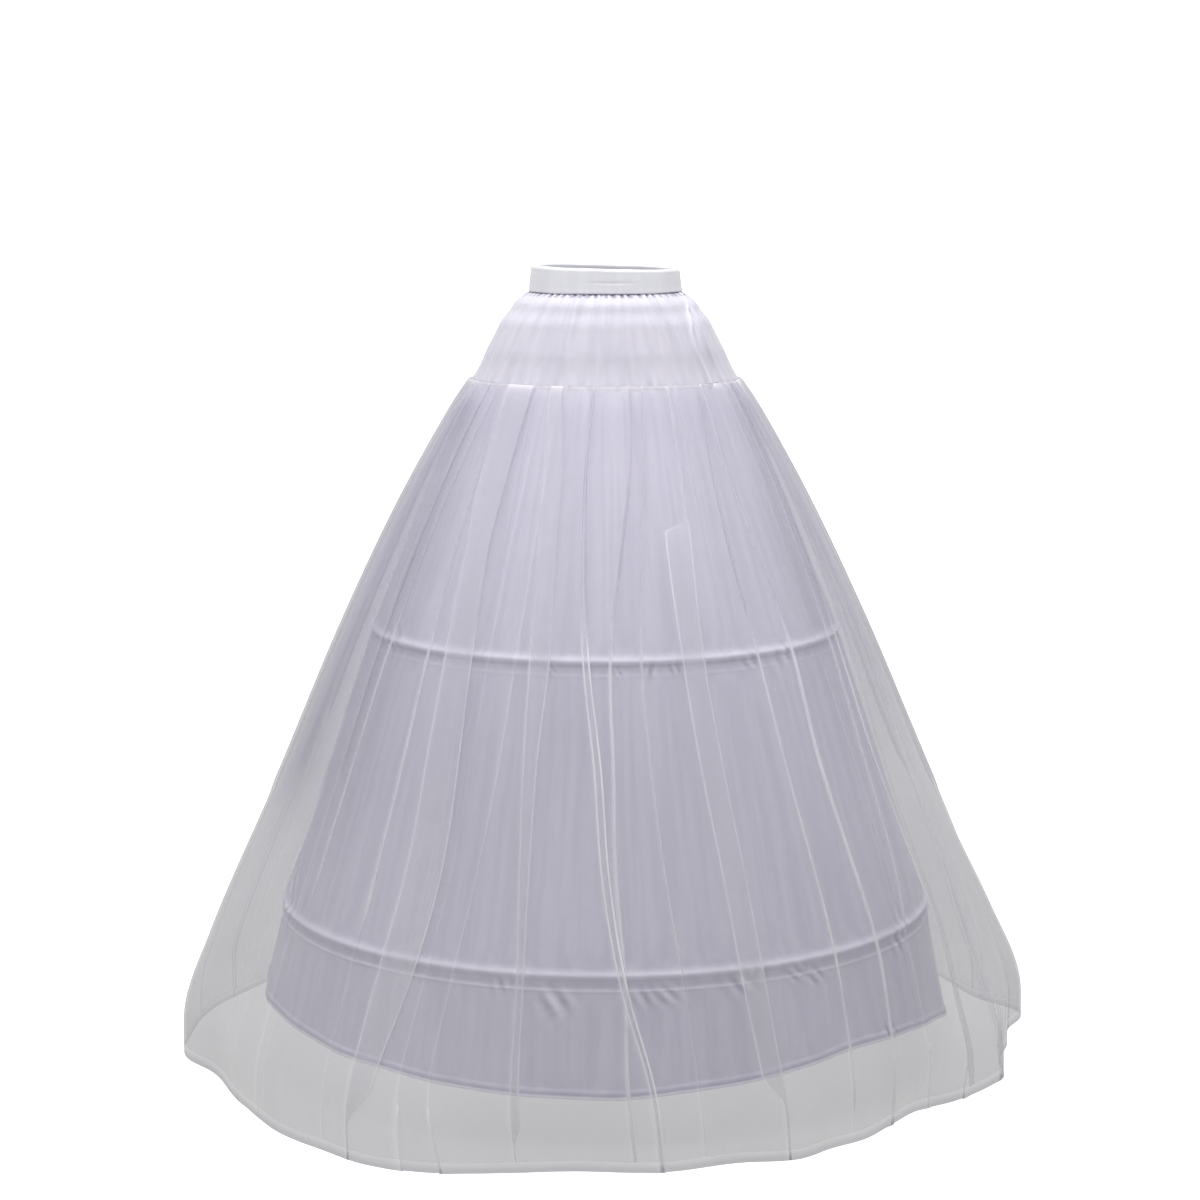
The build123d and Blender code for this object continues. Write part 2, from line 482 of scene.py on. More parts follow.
tulle_cloth, tree, shader = new_material("fine tulle")
place = cloth_place(tree, TULLE_CUT)
shade = use(tree, tone, place, Size=0.14, Streak=1.6)
net = use(tree, threads, place, Threads_per_metre=900)
crowd_and_painted_light = add(tree, "ShaderNodeAttribute", attribute_name="crowd_and_painted_light").outputs["Fac"]
height = add(tree, "ShaderNodeSeparateXYZ")
tree.links.new(add(tree, "ShaderNodeTexCoord").outputs["Object"], height.inputs[0])
lavender_higher_up = stepped(tree, height.outputs["Z"], LAVENDER_FROM, LAVENDER_TO)
crowded = maths(tree, "MULTIPLY", maths(tree, "ABSOLUTE", crowd_and_painted_light), CREASE_STOPS)
thick = maths(tree, "ADD", stepped(tree, shade, 0.3, 0.7, *NET_STOPS), crowded)
thick = maths(tree, "ADD", thick, maths(tree, "MULTIPLY_ADD", net, THREAD_STOPS, -0.4 * THREAD_STOPS))
tree.links.new(thick, shader.inputs["Alpha"])
# the sign of the number picks a colour between painted shade (below 0) and painted highlight (above 0)
lit = stepped(tree, crowd_and_painted_light, -1, 1)
loose = tinted(tree, lit, (0.34, 0.335, 0.42), (0.97, 0.97, 0.97))
gathered = tinted(tree, lit, (0.40, 0.38, 0.49), (0.96, 0.94, 0.99))
tree.links.new(tinted(tree, lavender_higher_up, loose, gathered), shader.inputs["Base Color"])
tree.links.new(stepped(tree, shade, 0.3, 0.7, 0.62, 0.52), shader.inputs["Roughness"])
adjust(shader, Sheen_Weight=0.35, Sheen_Roughness=0.35, Specular_IOR_Level=0.25)
bumped(tree, shader, net, 0.0002, 0.3)

# %% [markdown]
# ## The lining
#
# Six gores of polyester hang from the yoke seam to a turned hem. The hoops sit in tape channels sewn inside,
# so each hoop pushes a round ridge into the cloth. Below the ridge the cloth dips towards the tape, and a
# row of stitches along the tape's lower edge leaves a thin line in it. Where the cloth was fed unevenly
# under the needle it puckers. Between the hoops it is nearly straight, with a little slack.

# %% The shape of the lining, from top to hem
# the ridge over a hoop, the dip over its tape and the line of stitches under it: how far out or in each
# goes, its half height, and how far below the hoop channel's top it lies
RIDGE_OUT, RIDGE_HALF, RIDGE_DROP = 0.0052, 0.0050, 0.006
DIP_IN, DIP_HALF, DIP_DROP = 0.0012, 0.006, 0.017
STITCH_OUT, STITCH_HALF, STITCH_DROP = 0.0022, 0.0018, 0.024
# how strong that line is at the upper and at the lower hoop
STITCH_PULL = (0.35, 1.0)
# the cloth stays outside the tape, which reaches from just above the ridge to below the stitches
TAPE_ABOVE, TAPE_BELOW, TAPE_ROOM = 0.004, 0.036, 0.0012

# how far soft waves stand out between the hoops and at the hem, and the height and step of the turned hem
SLACK_OUT, FLARE_OUT = 0.0035, 0.0040
HEM_TURN, HEM_STEP = 0.010, 0.0018

# how far the lining's hem lies below (-) or above (+) its even height, round the skirt from the back
LINING_HEM_ANGLES = (-180, -130, -90, -63, -52, -41, -19, 2, 16, 24, 33, 45, 53, 62, 74, 88, 120, 180)
LINING_HEM_LIFTS = (0.004, 0.012, 0.026, 0.021, 0.015, 0.012, 0.003, 0.001, 0.008, 0.011, 0.020, 0.027,
                    0.024, 0.017, 0.002, -0.018, -0.006, 0.004)

# puckers: angle, height, size, strength
PUCKERS = (
    (-13, 0.562, 0.008, 0.0020), (3, 0.560, 0.006, 0.0022), (10, 0.562, 0.009, 0.0026),
    (16, 0.563, 0.008, 0.0026), (19, 0.566, 0.006, 0.0020), (36, 0.565, 0.012, 0.0018),
    (46, 0.566, 0.016, 0.0020), (-62, 0.575, 0.018, 0.0018), (-17, 0.190, 0.010, 0.0024),
    (-8, 0.172, 0.018, 0.0036), (6, 0.178, 0.012, 0.0028), (10, 0.180, 0.014, 0.0026),
    (23, 0.186, 0.016, 0.0034), (26, 0.198, 0.010, 0.0026), (33, 0.190, 0.012, 0.0026),
    (37, 0.182, 0.012, 0.0030), (60, 0.190, 0.016, 0.0034), (63, 0.215, 0.014, 0.0028),
    (-79, 0.235, 0.026, 0.0030), (-74, 0.205, 0.016, 0.0028), (52, 0.066, 0.012, 0.0030),
)
SCATTERED_PUCKERS = 34


def scattered_puckers(seed, count):
    """More puckers for the sides and the back, along both rows of stitches."""
    draw = np.random.default_rng(seed)
    rows = [z - STITCH_DROP for z in hoop_z]
    return [(draw.uniform(85, 275), draw.choice(rows) + draw.uniform(-0.004, 0.012),
             draw.uniform(0.008, 0.018), draw.uniform(0.0016, 0.0032)) for _ in range(count)]


ALL_PUCKERS = (*PUCKERS, *scattered_puckers(11, SCATTERED_PUCKERS))


def pucker_out(angle, z):
    """How far the puckers move the cloth out. Each is a small patch of short waves that lean."""
    out = np.zeros(angle.shape)
    radius = ring_at(z, lining_rings, smooth=False)[0]
    draw = np.random.default_rng(5)
    for at_angle, at_z, size, strength in ALL_PUCKERS:
        lean, start = draw.uniform(-0.7, 0.7), draw.uniform(0, 6.28)
        across = np.radians(wrapped(angle - at_angle)) * radius
        up = z - at_z
        near = np.exp(-(across**2 + (1.2 * up) ** 2) / (2 * (0.8 * size) ** 2))
        out = out + strength * near * np.cos(4.4 * (across + lean * up) / size + start + 2.2 * up / size)
    return out


def lining_out(angle, z):
    """How far the lining stands out from its straight tiers."""
    out = np.zeros(angle.shape)
    uneven = 0.75 + 0.45 * ripple(angle, z * 0, (17, 29, 43), 3)
    for hoop, pull in zip(hoop_z, STITCH_PULL):
        below = hoop - z
        out = out + RIDGE_OUT * bell(below - RIDGE_DROP, RIDGE_HALF)
        out = out - DIP_IN * uneven * bell(below - DIP_DROP, DIP_HALF)
        out = out + STITCH_OUT * pull * bell(below - STITCH_DROP, STITCH_HALF)
    between_hoops = np.clip((z - hoop_z[1]) / (hoop_z[0] - hoop_z[1]), 0, 1)
    slack = np.clip(np.sin(np.pi * between_hoops), 0, 1)
    out = out + slack * SLACK_OUT * ripple(angle, z, (7, 11, 19), 8)
    flare = ease(-z, 0.05 - hoop_z[1], -lining_hem_z)
    out = out + flare * FLARE_OUT * ripple(angle, z, (9, 14, 23), 9)
    turned_up = 1 - ease(z - lining_hem_z - HEM_TURN, -0.001, 0.002)
    out = out + HEM_STEP * turned_up + pucker_out(angle, z)
    for hoop in hoop_z:
        past_tape = np.maximum(0, np.maximum(z - hoop - TAPE_ABOVE, hoop - TAPE_BELOW - z))
        out = np.maximum(out, -TAPE_ROOM - 0.25 * past_tape)
    return out


# painted light on the cloth at a hoop: how far below the channel's top, the half height, and how strong a
# painted highlight (above 0) or painted shade (below 0) at the upper and at the lower hoop
HOOP_PAINTED_LIGHT = (
    (0.0035, 0.0028, 0.85, 0.85),  # painted highlight along the ridge
    (0.0118, 0.0024, -0.9, -0.4),  # painted shade under it
    (0.0170, 0.0045, -0.15, -0.4),  # painted shade over the dip at the tape
    (STITCH_DROP, 0.0015, 0.15, 1.0),  # painted highlight along the line of stitches
)
# painted highlight and painted shade at the hem, from its edge up, and the painted shade under the seam
HEM_PAINTED_LIGHT = ((0.0016, 0.0016, 2.0), (0.0055, 0.0018, -0.8))
SEAM_SHADE, SEAM_SHADE_DEPTH = 0.45, 0.11
# painted highlight on a pucker's crests and painted shade in its hollows, for each metre that it stands out or
# in
PUCKER_PAINTED_LIGHT = 420


def painted_lining_light(z):
    """Painted light on the lining: above 0 a painted highlight on the ridges, the stitches and the hem's edge,
    below 0 painted shade under the ridges, over the tapes, just above the hem's edge and under the seam.
    """
    painted_light = -SEAM_SHADE * ease(z, seam_z - SEAM_SHADE_DEPTH, seam_z)
    for below, half, *tones in HOOP_PAINTED_LIGHT:
        for hoop, pale in zip(hoop_z, tones):
            painted_light = painted_light + pale * bell(hoop - z - below, half)
    for up, half, pale in HEM_PAINTED_LIGHT:
        painted_light = painted_light + pale * bell(z - lining_hem_z - up, half)
    return painted_light


SEAM_DRAW, SEAM_DRAW_FADES = 0.0075, 0.016


def drawn_in(z):
    """How far the gathers at the seam draw every layer in."""
    return SEAM_DRAW * np.exp(-(seam_z - z) / SEAM_DRAW_FADES)


# %% Cut and hang the gores
GORE_COLUMNS, GORE_TURN = 112, 360 / len(GORES)
# the height of a row at the hoops and the hem, and what is added to it elsewhere
FINE_ROW, COARSER = 0.0013, 0.0118
# rows of the hem's inside turn, how far inside it lies, and how far the sewn edges of a gore sink
TURN_ROWS, TURN_IN = 5, 0.0016
SEAM_SINK = 0.0012


def lining_heights():
    """Heights of the rows of a gore from the hem up, closer together at the hoops and the hem."""
    steps, z = [lining_hem_z], lining_hem_z
    while z < seam_z - 0.002:
        near = min(abs(z - hoop + 0.012) for hoop in hoop_z)
        near = min(near, z - lining_hem_z + 0.012)
        z += FINE_ROW + COARSER * ease(np.array(near), 0.022, 0.06)
        steps.append(min(float(z), seam_z))
    return np.array(steps)


fall = lining_heights()


def hung_gore(number, name):
    """One gore of the lining. Its first rows are the turn inside the hem."""
    middle = number * GORE_TURN
    turn = lining_hem_z + HEM_TURN * np.linspace(1, 0.06, TURN_ROWS)
    heights = np.concatenate([turn, fall])
    inwards = np.concatenate([np.full(TURN_ROWS, TURN_IN), np.zeros(len(fall))])
    inwards[TURN_ROWS] = 0.0006

    def place(column, row):
        angle = middle + GORE_TURN * (column / GORE_COLUMNS - 0.5)
        z = heights[row]
        half_x, half_y = ring_at(z, lining_rings, smooth=False)
        out = lining_out(angle, z) - inwards[row]
        from_middle = np.abs(column / GORE_COLUMNS - 0.5) * 2
        out = out - SEAM_SINK * ease(from_middle, 0.985, 1.0)
        out = out * ease(seam_z - z, 0.0, 0.02) - drawn_in(z)
        lift = smooth_through(wrapped(angle), LINING_HEM_ANGLES, LINING_HEM_LIFTS)
        lift = lift * ease(-z, -0.20, -lining_hem_z)
        return on_ring(angle, half_x + out, half_y + out, z + lift)

    piece, column, row = laid_cloth(f"hung_lining_{name}", GORE_COLUMNS, len(heights) - 1, place)
    angle = middle + GORE_TURN * (column / GORE_COLUMNS - 0.5)
    # painted highlights and painted shade at the hoops, the hem, under the seam and on the puckers
    mark(piece, "painted_light", painted_lining_light(heights[row]) + PUCKER_PAINTED_LIGHT * pucker_out(angle, heights[row]))
    piece.data.materials.append(lining_cloth)
    return piece


lining = {name: hung_gore(number, name) for number, name in enumerate(GORES)}
for name, piece in lining.items():
    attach(piece, "root")
    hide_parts(f"lining_gore_{name}")
print(f"a lining gore: {len(piece.data.polygons)} faces, {surface_of(piece):.3f} square metres")

# %% [markdown]
# ## The tulle
#
# Two loose layers, each of four panels. Most of the tulle hangs in wide, soft flutes, but it was folded flat
# in its packet, so some long creases stay in it as knife folds: the net runs forward, doubles back
# under itself and runs forward again. Such a fold is really three layers deep, so it is modelled that way.
#
# A fold is two edges, each a list of angles at a few heights. The columns of the grid follow the cloth:
# over the top of the fold, round its edge, back underneath, round the other edge, and on.

# %% Folds
FOLD_HEIGHTS = (0.0, 0.10, 0.22, 0.34, 0.46, 0.59, 0.74, 0.82, 0.903)
# the room between two plies of a fold
PLY = 0.0012


def fold(left, right, over="right", high=-0.5, low=0.8, top=2.0, bottom=-1.0, across=0.0, closes=0.03):
    """A knife fold: the angles of its two edges at FOLD_HEIGHTS, the edge where its top layer ends, the
    painted light on its creases above and below the upper hoop (a painted highlight above 0, painted shade
    below 0), the heights between which it stays folded, how creased it is between its edges, and the length
    over which it narrows to nothing below."""
    return {"left": left, "right": right, "over": over, "high": high, "low": low, "top": top,
            "bottom": bottom, "across": across, "closes": closes}


def line_fold(angles, width=0.6, over="right", high=-0.5, low=0.8, top=2.0, bottom=-1.0):
    """A narrow crease: a fold whose width is given in degrees at the hem, and nearly doubles to the seam."""
    right = tuple(angle + width * (1 + z) for angle, z in zip(angles, FOLD_HEIGHTS))
    return fold(angles, right, over, high, low, top, bottom, across=0.8)


OUTER_FOLDS = {
    "front": [
        fold((-31.5, -32, -32, -32, -33, -34.5, -38, -41, -43.5),
             (-28.6, -28.4, -26.4, -25.6, -26.4, -28, -30, -30, -30),
             high=-0.55, low=0.45, bottom=0.095, closes=0.055),
        line_fold((-23.9, -25.0, -24.6, -24.0, -24, -24, -24, -24, -24), 0.22, low=1.0, top=0.075),
        line_fold((-19.4, -21.4, -21, -20, -19, -18.5, -18, -18, -18), 0.22, "left", low=1.0, top=0.08),
        fold((6.7, 5.4, 1.8, -0.7, -2.1, -4.8, -6.1, -6.2, -4.8),
             (7.3, 6.1, 2.7, 0.5, -0.8, -3.5, -5.2, -5.6, -4.3),
             high=-0.8, low=1.0),
        fold((20.8, 20.2, 18.9, 18, 16.6, 15.6, 15.5, 17.0, 19.0),
             (23.6, 22.8, 22.2, 21.7, 20.8, 20.3, 22.3, 23.8, 26.5),
             "left", high=0.8, low=0.6, top=0.735, bottom=0.105, closes=0.035),
        line_fold((43.0, 43.2, 43.0, 41.4, 40.4, 41.4, 39.5, 39.2, 42.5), 0.35, high=-0.5, low=0.5),
    ],
    "left": [
        line_fold((52.3, 52.2, 51, 50, 50, 50, 52, 54, 56), 0.22, low=1.0, top=0.085),
        line_fold((58.5, 59.5, 58.1, 56.7, 56, 57.5, 60, 62, 64), 0.35, "left", high=-0.5, low=0.5),
        fold((68.5, 66.5, 64.8, 66, 67.5, 69, 70.5, 72, 74),
             (70.0, 67.6, 66.6, 67.4, 68.8, 70.6, 72.5, 74, 76),
             high=-0.3, low=0.3),
    ],
    "right": [
        line_fold((-59.1, -59.1, -58.8, -57.0, -58, -60, -63, -66, -68), 0.4, "left",
                  high=-0.5, low=0.25, bottom=0.30),
        line_fold((-51.2, -51.2, -52, -53, -54, -55, -55.5, -55.5, -55.5), 0.4,
                  high=-0.5, low=-0.2, bottom=0.45),
    ],
}
UNDER_FOLDS = {
    "front": [
        line_fold((-36, -36.5, -37, -38, -38.5, -39.5, -41, -42, -43), 0.4, high=-0.4, low=0.5, bottom=0.28),
        fold((-10.9, -11.8, -12.2, -13.4, -14.6, -15.7, -17.5, -19.5, -23),
             (-9.8, -10.8, -11.2, -11.8, -12.1, -11.4, -12.4, -13.6, -18),
             high=-0.4, low=0.6, bottom=0.06),
        line_fold((3.6, 2.6, 2.4, 1.3, 1.1, 0.8, 4.7, 7.6, 9.4), 0.3, high=-0.7, low=0.6),
        line_fold((12.4, 11.6, 10.4, 8.8, 7.6, 7.0, 9.4, 12, 15), 0.3, "left",
                  high=-0.3, low=0.3, bottom=0.25),
        line_fold((33.8, 34.2, 34.4, 33.8, 33, 32.6, 32.5, 34.8, 41), 0.35, "left",
                  high=-0.6, low=0.6, bottom=0.06),
    ],
    "left": [
        line_fold((50, 50.4, 51, 52.5, 53.5, 55.5, 58, 60, 62), 0.35, high=-0.6, low=0.4, bottom=0.25),
        fold((60.6, 59.1, 59.3, 58.3, 59.4, 62, 65, 67, 69),
             (61.8, 60.4, 60.4, 59.4, 60.7, 64.0, 67, 69, 71),
             "left", high=-0.5, low=0.4),
    ],
    "right": [
        line_fold((-64, -64, -65, -65, -66, -67, -69, -71, -73), 0.4, "left",
                  high=-0.4, low=-0.15, bottom=0.5),
        line_fold((-49, -49.5, -50, -51, -51.5, -52, -52, -51, -50), 0.4,
                  high=-0.4, low=0.4, bottom=0.30),
    ],
}


def scattered_folds(start, end, count, seed, bottom=-1.0):
    """Folds for the sides and back, spaced unevenly between two angles."""
    draw = np.random.default_rng(seed)
    pitch = (end - start) / count
    made = []
    for number in range(count):
        middle = start + pitch * (number + 0.5 + draw.uniform(-0.15, 0.15))
        wander = np.cumsum(draw.uniform(-0.06, 0.06, len(FOLD_HEIGHTS))) * pitch
        half = pitch * draw.choice([0.02, 0.03, 0.06, 0.09]) * draw.uniform(0.8, 1.3, len(FOLD_HEIGHTS))
        over = "right" if draw.uniform() < 0.5 else "left"
        pale = draw.uniform(0.05, 0.4)
        left, right = tuple(middle + wander - half), tuple(middle + wander + half)
        made.append(fold(left, right, over, high=-0.4, low=pale, bottom=bottom))
    return made


for folds, seed in ((OUTER_FOLDS, 21), (UNDER_FOLDS, 41)):
    folds["left"] += scattered_folds(84, 134, 3, seed, bottom=0.36)
    folds["back"] = scattered_folds(136, 224, 7, seed + 1)
    folds["right"] = scattered_folds(-134, -84, 3, seed + 2, bottom=0.36) + folds["right"]
print("folds:", {q: len(OUTER_FOLDS[q]) + len(UNDER_FOLDS[q]) for q in QUARTERS})

# %% Columns that follow the cloth through its folds
# the width of a column between folds, in degrees, and the number of columns in one layer of a fold
GAP_STEP, PASS_STEPS = 0.55, 5
# the width of the pressed strip at the edge of a fold, and of the start of it, in halves of a ply
PRESSED, PRESSED_START = 2.4, 0.6
# the points of the half circle round the edge of a fold, as angles from its top
ROUND_ANGLES = (0.6, 1.57, 2.54)


def turn_columns(number, edge, level, to, sideways):
    """The columns at the edge of a fold: a narrow pressed strip on it, then a small half circle round it."""
    middle, half = (level + to) / 2, (level - to) / 2
    strip = [(-PRESSED - PRESSED_START, 0.0), (-PRESSED, 1.0), (-PRESSED / 2, 1.0)]
    round_edge = [(np.sin(angle), middle + half * np.cos(angle)) for angle in ROUND_ANGLES]
    pressed = [(number, edge, edge, 0.0, level, sideways * across, sharp) for across, sharp in strip]
    return pressed + [(number, edge, edge, 0.0, lift, sideways * across, 1.0) for across, lift in round_edge]


def pass_columns(number, a, b, level, crowd_and_painted_light):
    """The columns of one layer of a fold, from one edge to the other."""
    return [(number, a, b, 0.6 * step / (PASS_STEPS - 1), level, 0.0, crowd_and_painted_light) for step in range(PASS_STEPS)]


def gap_columns(number, folds, width):
    """The columns between two folds. The cloth climbs to the top of a fold, or comes down from it."""
    steps = max(6, round(width / GAP_STEP))
    columns = []
    for step in range(steps + 1):
        came_down = number > 0 and folds[number - 1]["over"] == "left"
        goes_up = number < len(folds) and folds[number]["over"] == "right"
        level = 2 * came_down * (1 - ease(step, 0, 3)) + 2 * goes_up * ease(step, steps - 3, steps)
        nearest = min(number, len(folds) - 1) if step > steps / 2 else max(number - 1, 0)
        columns.append((nearest, 2 * number, 2 * number + 1, step / steps, float(level), 0.0, 0.0))
    return columns


def cloth_columns(folds, start, end):
    """The edges of the folds, and each column as: its fold, the edges before and after it, its share of the
    way between them, its layer, its shift sideways and how creased it is."""
    edges = [(start,) * len(FOLD_HEIGHTS)]
    for each in folds:
        edges += [each["left"], each["right"]]
    edges.append((end,) * len(FOLD_HEIGHTS))
    columns = []
    for number in range(len(folds) + 1):
        width = abs(edges[2 * number + 1][3] - edges[2 * number][3])
        columns += gap_columns(number, folds, width)
        if number < len(folds):
            left, right = 2 * number + 1, 2 * number + 2
            first, last = (2, 0) if folds[number]["over"] == "right" else (0, 2)
            across = folds[number]["across"]
            columns += pass_columns(number, left, right, first, across)
            columns += turn_columns(number, right, first, 1, 1)
            columns += pass_columns(number, right, left, 1, across)
            columns += turn_columns(number, left, 1, last, -1)
            columns += pass_columns(number, left, right, last, across)
    return edges, columns


# %% [markdown]
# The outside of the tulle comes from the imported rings. Its hem is not a true circle: it billows out between
# the folds and pulls in at them, so a list of distances gives the hem's outline round the skirt, and that
# outline fades into the even rings further up.

# %% Outline of the hem
# the hem's distance from the middle, round the skirt
HEM_ANGLES = (-180, -160, -138, -118, -102, -90, -79, -72, -57, -45, -36, -28, -22, -12, -4, 8, 17, 25,
              30, 36, 43, 50, 57, 64, 70, 77, 84, 92, 99, 108, 122, 140, 160, 180)
HEM_OUT = (0.566, 0.552, 0.574, 0.558, 0.566, 0.569, 0.570, 0.546, 0.552, 0.578, 0.586, 0.602, 0.597,
           0.572, 0.554, 0.558, 0.548, 0.558, 0.544, 0.540, 0.522, 0.514, 0.534, 0.545, 0.552, 0.540,
           0.548, 0.556, 0.592, 0.560, 0.572, 0.552, 0.570, 0.566)
# the height at which the outline has faded out
HEM_FADED_Z = 0.42
# how far the flutes, the gathers under the seam and the ledge of the seam itself stand out
FLUTE_OUT, GATHER_OUT, LEDGE_OUT = 0.0040, 0.0013, 0.0022


def tulle_place(angle, z, out):
    """A point of the tulle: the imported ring, the hem's outline, soft flutes and the distance further out."""
    half_x, half_y = ring_at(z, outer_rings)
    outline = smooth_through(wrapped(angle), HEM_ANGLES, HEM_OUT) / outer_rings[1][0] - 1
    grow = 1 + outline * (1 - ease(z, 0.0, HEM_FADED_Z)) ** 1.3
    below_seam = seam_z - z
    flute = FLUTE_OUT * ripple(angle, z, (7, 11, 17), 1) * ease(below_seam, 0.0, 0.25)
    gather = GATHER_OUT * ripple(angle, z, (61, 83, 97, 118), 2) * np.exp(-below_seam / 0.05)
    more = flute + gather + LEDGE_OUT * bell(below_seam, 0.008) + out - drawn_in(z)
    return on_ring(angle, half_x * grow + more, half_y * grow + more, z)


# %% Hang the tulle
TULLE_ROWS = 98
# each layer's folds, how far out it hangs and the height of its hem
LAYERS = {"outer": (OUTER_FOLDS, 0.0, 0.0), "under": (UNDER_FOLDS, -0.0030, under_hem_z)}
# a fold that has closed keeps this share of its width
SHUT = 0.12
# where the net is bunched at a side: the angle, half width, how dark its painted shade is (the net is also
# denser there), and the heights where that begins and is full
BUNCHED = ((-71, 13, 0.62, 0.26, 0.44), (74, 11, 0.44, 0.38, 0.62))


def folds_at(folds, edges, heights):
    """How folds lie at some heights: the angles of all edges, how open each is, and the crowding and painted
    light of its creases.
    """
    edge_angles = np.array([smooth_through(heights, FOLD_HEIGHTS, angles) for angles in edges])
    opened = []
    for each in folds:
        above = 1 - ease(heights, each["top"], each["top"] + 0.005)
        below = 1 - ease(-heights, -each["bottom"], each["closes"] - each["bottom"])
        opened.append(SHUT + (1 - SHUT) * above * below)
    opened = np.array(opened)
    creased = []
    for number, each in enumerate(folds):
        left, right = edge_angles[2 * number + 1], edge_angles[2 * number + 2]
        if each["over"] == "left":
            edge_angles[2 * number + 1] = right - (right - left) * opened[number]
        else:
            edge_angles[2 * number + 2] = left + (right - left) * opened[number]
        # the painted highlight or painted shade on the fold's creases, which changes at the upper hoop
        tone_up = each["low"] + (each["high"] - each["low"]) * ease(heights, 0.57, 0.66)
        uneven = 0.8 + 0.3 * ripple(0, heights * 40, (1, 2.3), number + 60)
        creased.append(tone_up * uneven * (opened[number] - SHUT) / (1 - SHUT))
    return edge_angles, opened, np.array(creased)


def net_tone(layer, angle, z, hem):
    """The net's crowding and painted light apart from its folds: a painted highlight at the seam, painted
    shade at the outer hem, a painted highlight at the under hem and painted shade where bunched; each also
    crowds the net.
    """
    net_crowd_and_painted_light = 0.5 * np.exp(-(seam_z - z) / 0.007)
    if layer == "outer":
        net_crowd_and_painted_light = net_crowd_and_painted_light - 0.60 * (1 - ease(z - hem, 0.005, 0.013))
    else:
        net_crowd_and_painted_light = net_crowd_and_painted_light + 0.9 * (z - hem < 0.001)
    for middle, half, shaded, begins, full in BUNCHED:
        net_crowd_and_painted_light = net_crowd_and_painted_light - shaded * bell(angle - middle, half) * ease(z, begins, full) * (1 - ease(z, 0.87, 0.90))
    return net_crowd_and_painted_light


def hung_tulle(layer, quarter):
    """One panel of one layer of tulle."""
    folds, inset, hem = LAYERS[layer]
    folds = folds[quarter]
    middle = {"front": 0, "left": 90, "back": 180, "right": -90}[quarter]
    edges, columns = cloth_columns(folds, middle - 45, middle + 45)
    fold_of, before, after, share, level, sideways, crowd_and_painted_light = (np.array(x) for x in zip(*columns))
    hem_rows = hem + np.array([0, 0.0014, 0.004])
    seam_rows = seam_z - np.array([0.004, 0])
    heights = np.concatenate([hem_rows, np.linspace(hem + 0.012, seam_z - 0.009, TULLE_ROWS), seam_rows])
    edge_angles, opened, creased = folds_at(folds, edges, heights)
    widths = np.abs(edge_angles[2:-1:2] - edge_angles[1:-2:2])

    def angle_of(column, row):
        start, end = edge_angles[before[column], row], edge_angles[after[column], row]
        return start + (end - start) * share[column]

    def place(column, row):
        z = heights[row]
        radius = ring_at(z, outer_rings)[0]
        ply = PLY * opened[fold_of[column], row]
        room = 0.35 * np.radians(widths[fold_of[column], row]) * radius
        shift = np.clip(sideways[column] * ply / 2, -room, room)
        angle = angle_of(column, row) + np.degrees(shift / radius)
        return tulle_place(angle, z, inset + level[column] * ply)

    piece, column, row = laid_cloth(f"{layer}_tulle_net_{quarter}", len(columns) - 1, len(heights) - 1, place)
    # the crowding and painted light of the net: the larger of its own marks and its folds' creases
    net_crowd_and_painted_light = net_tone(layer, angle_of(column, row), heights[row], hem)
    folded = crowd_and_painted_light[column] * creased[fold_of[column], row]
    mark(piece, "crowd_and_painted_light", np.where(np.abs(folded) > np.abs(net_crowd_and_painted_light), folded, net_crowd_and_painted_light))
    piece.data.materials.append(tulle_cloth)
    return piece


tulle = {(layer, quarter): hung_tulle(layer, quarter) for layer in LAYERS for quarter in QUARTERS}
for (layer, quarter), piece in tulle.items():
    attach(piece, "root")
    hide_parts(f"{layer}_tulle_{quarter}")
    print(f"{piece.name}: {len(piece.data.polygons)} faces, {surface_of(piece):.3f} square metres")

# %% [markdown]
# ## The yoke
#
# Two half rounds of polyester, gathered into the waistband above and eased into the seam below. The
# gathers are tight at the band and run out into soft folds, so the waves fade from many to few.

# %% Gather the yoke
YOKE_COLUMNS, YOKE_ROWS = 360, 64
# how far the yoke's top edge reaches up into the band, and how far in it is tucked there
YOKE_TUCK, YOKE_TUCK_IN = 0.003, 0.0030

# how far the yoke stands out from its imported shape, at shares of its height: in below, out at the band
YOKE_SHARES = (0, 0.165, 0.34, 0.52, 0.69, 0.80, 0.905, 1)
YOKE_PUFF = (-0.0080, -0.0080, -0.0062, -0.0055, -0.0045, -0.0008, 0.0030, 0)
shares = np.linspace(0, 1, 10)
outline_z = seam_z + (band_z[0] - seam_z) * shares
yoke_outline = np.array([outline_z, *ring_at(outline_z, yoke_rings, smooth=False)])
yoke_outline[1:] += smooth_through(shares, YOKE_SHARES, YOKE_PUFF)

# how far the gathers and the puckers at the seam stand out, and how far the gaps under the band go in
GATHERS_OUT, PUCKERS_OUT, GAPS_IN = 0.0026, 0.0022, 0.0030
# one fold hangs over on the wearer's left: its angle at shares of the height, how far it stands out, and
# how deep the hollow beside it is
HANG_SHARES, HANG_ANGLES = (0, 0.6, 0.8, 1.0), (51, 52.5, 60, 75)
HANG_OUT, HOLLOW_IN = 0.0035, 0.0045


def yoke_waves(angle, z):
    """The fine gathers, the soft folds and the notches at the seam, each from -1 to 1; the share of the
    height; and the degrees past the fold that hangs over."""
    up = (z - seam_z) / (band_z[0] - seam_z)
    fine = ripple(angle, 0.4 * z, (53, 67, 74, 91), 31)
    soft = ripple(angle, 0.4 * z, (23, 31, 38, 47), 32)
    notch = ripple(angle, z * 0, (37, 61, 88), 33)
    past = angle - smooth_through(up, HANG_SHARES, HANG_ANGLES)
    return fine, soft, notch, up, past


